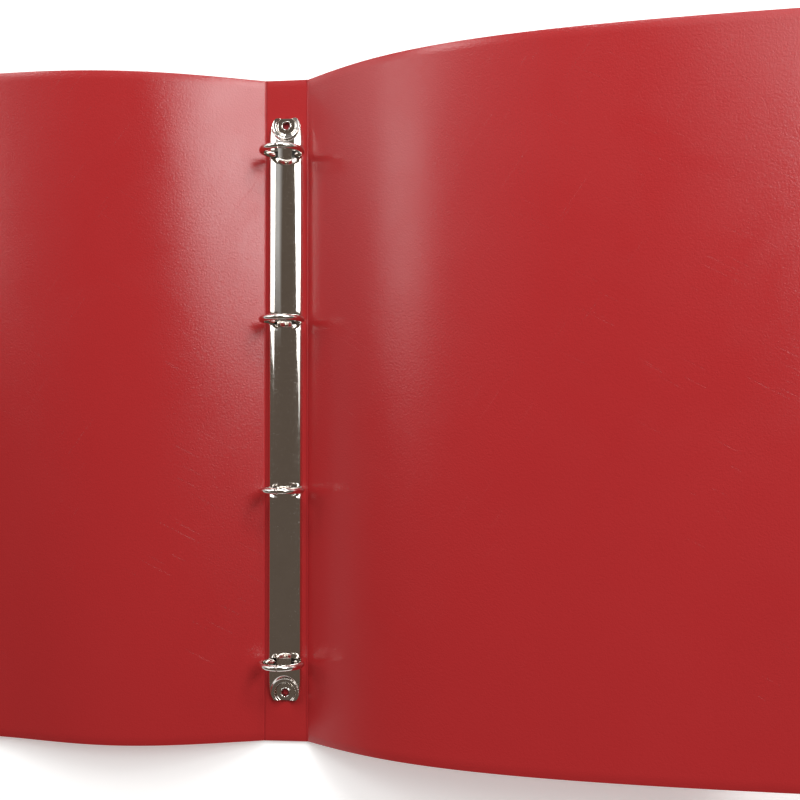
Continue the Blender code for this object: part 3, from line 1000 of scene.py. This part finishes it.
for end, y in (("top", rivetY), ("bottom", -rivetY)):
    bm = bmesh.new()
    turnInto(bm, Vector((0, y, 0)), eyeletProfile(), rivetForm["rivetSides"], closed=True)
    eyelet = makePiece(f"{end}HollowRivet", bm, ringNickel, "spine_assembly")
    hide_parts(f"{end}_eyelet")
    bm = bmesh.new()
    turnInto(bm, Vector((0, y, 0)), capProfile(), rivetForm["capSides"])
    cap = makePiece(f"{end}RivetCap", bm, capRed, "spine_assembly")
    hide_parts(f"{end}_rivet_cap")

for end in ("front", "back"):
    blade = frame["nodes"][f"{end}_blade"]
    blade.data.materials.clear()
    blade.data.materials.append(bladeSteel)
print("rivets and blades finished")


# floor, light and camera

studio = {
    "floorColour": (0.945, 0.945, 0.945),
    "floorMottle": (0.95, 0.95, 0.945),
    "floorSize": 8.0,           # metres
    "floorRoughness": 0.75,
    "floorGlow": 0.36,
    "walls": (0.53, 0.53, 0.53),
    "ceiling": (0.118, 0.093, 0.075),     # dark and warm, also on the near and far sides
    # where the room turns from walls to ceiling, by the Y and Z of the direction
    "overheadZ": (0.84, 0.92),
    "nearSideY": (0.19, 0.10),
    "nearSideZ": (0.10, 0.30),
    "farSideY": (0.36, 0.56),
    "farSideZ": (0.20, 0.40),
    "farSideDepth": 0.75,
    "lamps": {
        # direction, distance, width and height as seen from the object in degrees, brightness
        "rightSoftbox": ((0.47, 0.31, 0.82), 1.7, 20.6, 15.8, 6.9),
        "rightLowBox": ((0.50, 0.58, 0.64), 1.7, 13, 13, 13.0),
        "rightBounce": ((0.50, 0.42, 0.76), 0.9, 42, 26, 1.6),
        "leftSoftbox": ((-0.75, 0.30, 0.59), 1.7, 22, 16, 2.7),
        "leftLowBox": ((-0.50, 0.62, 0.60), 1.7, 13, 13, 7.6),
        "farBox": ((0.02, 0.84, 0.54), 1.7, 18, 18, 10.0),
        "farLeftBox": ((-0.80, 0.50, 0.33), 1.7, 24, 24, 1.1),
    },
}


def floorMaterial():
    material, tree, shader = newMaterial("paleFloor", Roughness=studio["floorRoughness"])
    place = solidPlace(tree)
    mottled = addNode(tree, "ShaderNodeTexNoise", {"Vector": place, "Scale": 0.01, "Detail": 3.0})
    colour = mixColours(tree, mottled.outputs["Fac"], studio["floorColour"], studio["floorMottle"])
    tree.links.new(colour, shader["Base Color"])
    shader["Emission Color"].default_value = (1, 1, 1, 1)
    shader["Emission Strength"].default_value = studio["floorGlow"]
    return material


def makeFloor():
    bm = bmesh.new()
    half = studio["floorSize"] / 2
    corners = [(-half, -half), (half, -half), (half, half), (-half, half)]
    bm.faces.new([bm.verts.new((x, y, cadLow.z)) for x, y in corners])
    floor = makePiece("studioFloor", bm, floorMaterial())


def makeSoftbox(name, direction, far, width, height, brightness):
    # a rectangular lamp facing the object, its power worked out from how bright it should look
    light = bpy.data.lights.new(name, "AREA")
    light.shape = "RECTANGLE"
    light.size = 2 * far * math.tan(math.radians(width / 2))
    light.size_y = 2 * far * math.tan(math.radians(height / 2))
    light.energy = brightness * math.pi * light.size * light.size_y
    lamp = bpy.data.objects.new(name, light)
    bpy.context.scene.collection.objects.link(lamp)
    out = Vector(direction).normalized()
    lamp.location = out * far
    lamp.rotation_mode = "QUATERNION"
    lamp.rotation_quaternion = out.to_track_quat("Z", "Y")


def makeWorld():
    world = bpy.data.worlds.new("paleRoom")
    bpy.context.scene.world = world
    world.use_nodes = True
    tree = world.node_tree
    background = tree.nodes["Background"]
    coordinates = tree.nodes.new("ShaderNodeTexCoord")
    parts = addNode(tree, "ShaderNodeSeparateXYZ", {0: coordinates.outputs["Generated"]})
    towardsY, towardsZ = parts.outputs["Y"], parts.outputs["Z"]
    overhead = rampFrom(tree, towardsZ, *studio["overheadZ"])
    nearSide = math2(tree, "MULTIPLY", rampFrom(tree, towardsY, *studio["nearSideY"]),
                     rampFrom(tree, towardsZ, *studio["nearSideZ"]))
    farSide = math2(tree, "MULTIPLY",
                    rampFrom(tree, towardsY, *studio["farSideY"], toHigh=studio["farSideDepth"]),
                    rampFrom(tree, towardsZ, *studio["farSideZ"]))
    unlit = math2(tree, "MAXIMUM", overhead, math2(tree, "MAXIMUM", nearSide, farSide))
    tree.links.new(mixColours(tree, unlit, studio["walls"], studio["ceiling"]), background.inputs["Color"])
    background.inputs["Strength"].default_value = 1.0


cameraView = {
    "sensorWidth": 36,
    "lens": 49.9,
    "clip": (0.01, 20),
    "place": (0.1089, -0.0243, 0.520),
    "turns": (2.89, 6.0, -0.19),    # degrees about X, Y and Z
}


def makeCamera():
    camera = bpy.data.cameras.new("camera")
    camera.sensor_width = cameraView["sensorWidth"]
    camera.lens = cameraView["lens"]
    camera.clip_start, camera.clip_end = cameraView["clip"]
    view = bpy.data.objects.new("camera", camera)
    bpy.context.scene.collection.objects.link(view)
    view.location = cameraView["place"]
    view.rotation_euler = [math.radians(turn) for turn in cameraView["turns"]]
    bpy.context.scene.camera = view


makeFloor()
makeWorld()
for name, placing in studio["lamps"].items():
    makeSoftbox(name, *placing)
makeCamera()
bpy.context.scene.view_settings.view_transform = "Standard"
print("studio made")
